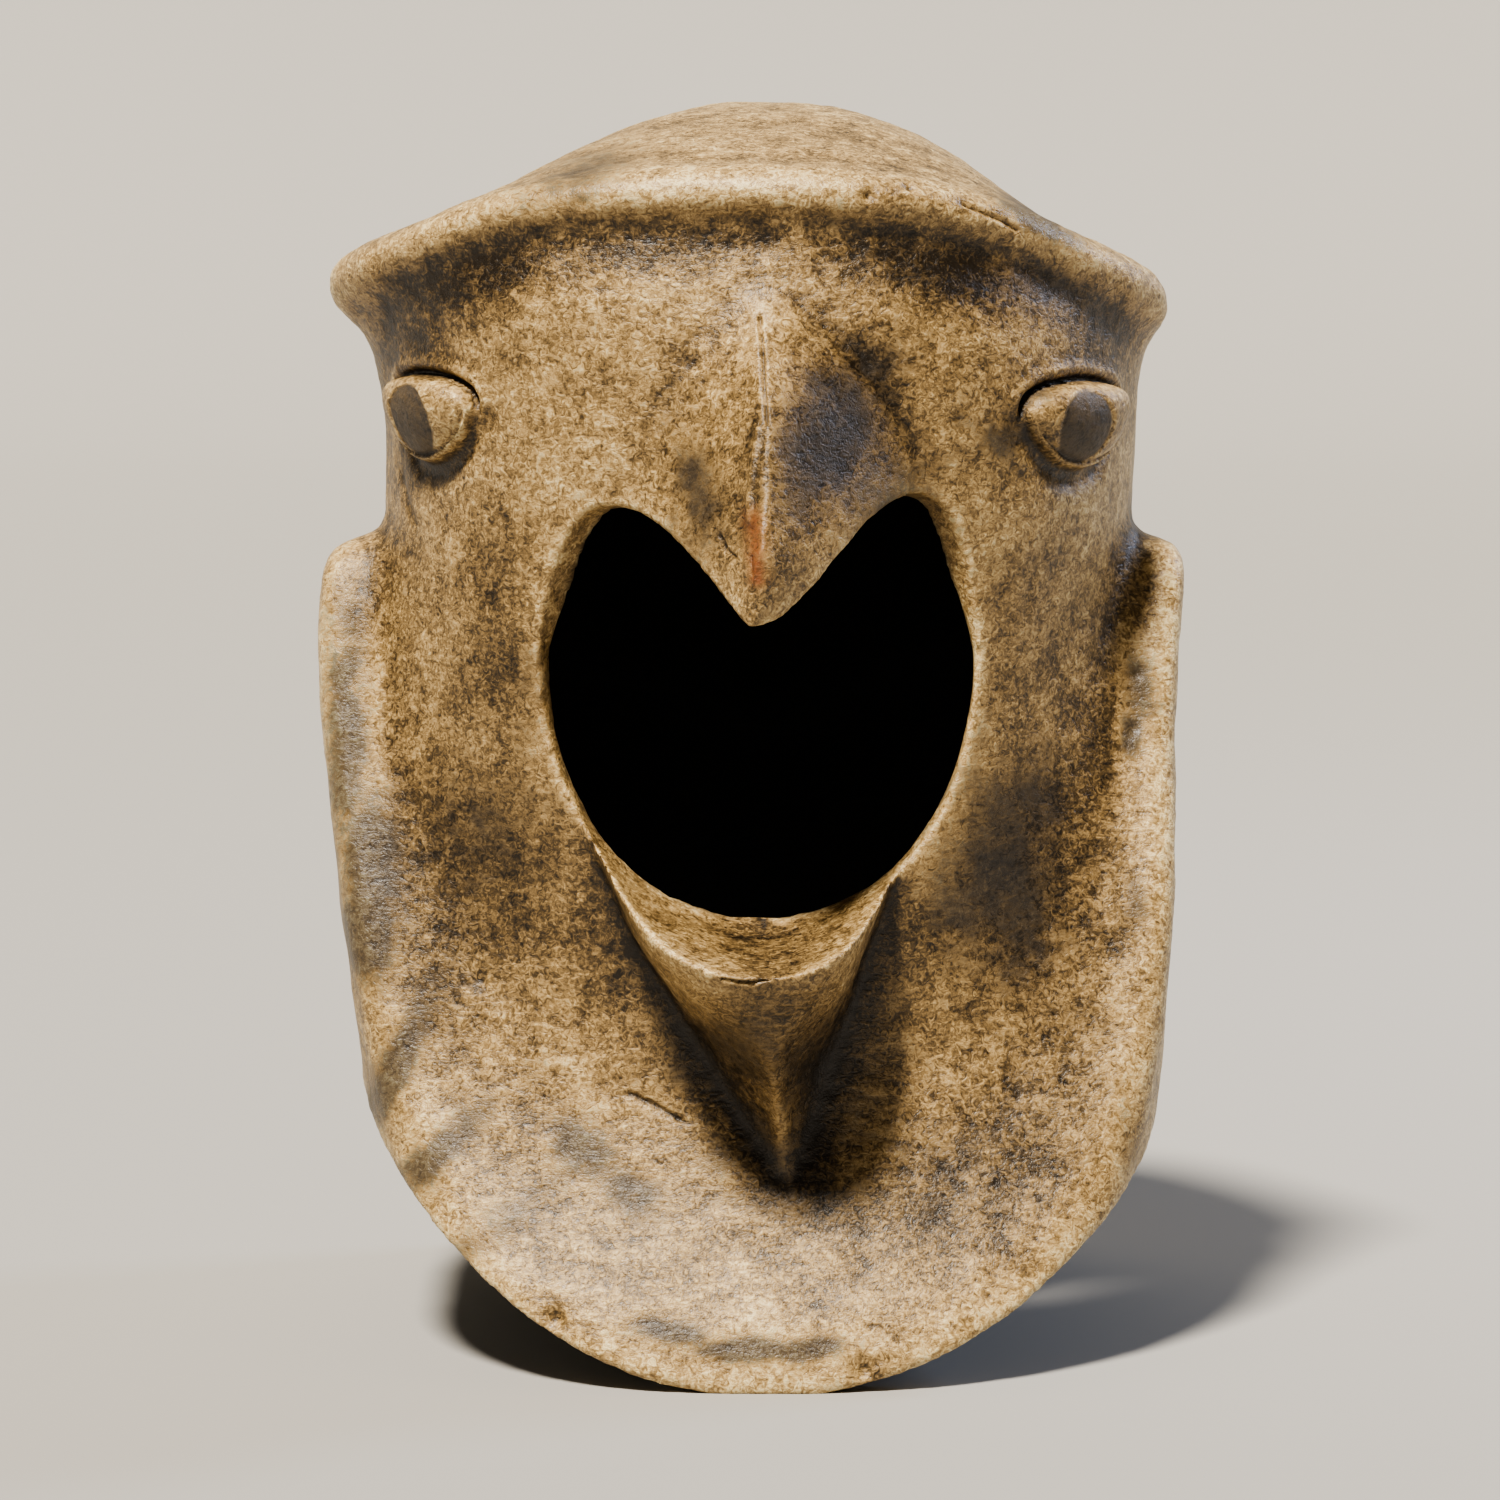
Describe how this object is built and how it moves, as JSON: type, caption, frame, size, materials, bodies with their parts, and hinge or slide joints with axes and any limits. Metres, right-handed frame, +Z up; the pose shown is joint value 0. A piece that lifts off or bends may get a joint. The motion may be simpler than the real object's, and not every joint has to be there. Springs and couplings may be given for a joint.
{
  "type": "eagle warrior helmet",
  "caption": "Hollow fired-clay helmet shaped as an eagle's head, with a visor-like brow, hooked beak, heart-shaped face opening, pointed lower bill and a scooped bib.",
  "frame": {"origin": "on the ground, below the middle of the helmet's bounding box", "axes": "+Z up, -Y the way the eagle looks, +X to the right of someone looking at the face"},
  "size_m": [0.2717, 0.2976, 0.386],
  "materials": {
    "burnished_clay": "satin"
  },
  "bodies": {
    "root": {"helmet": "burnished_clay"}
  },
  "joints": []
}
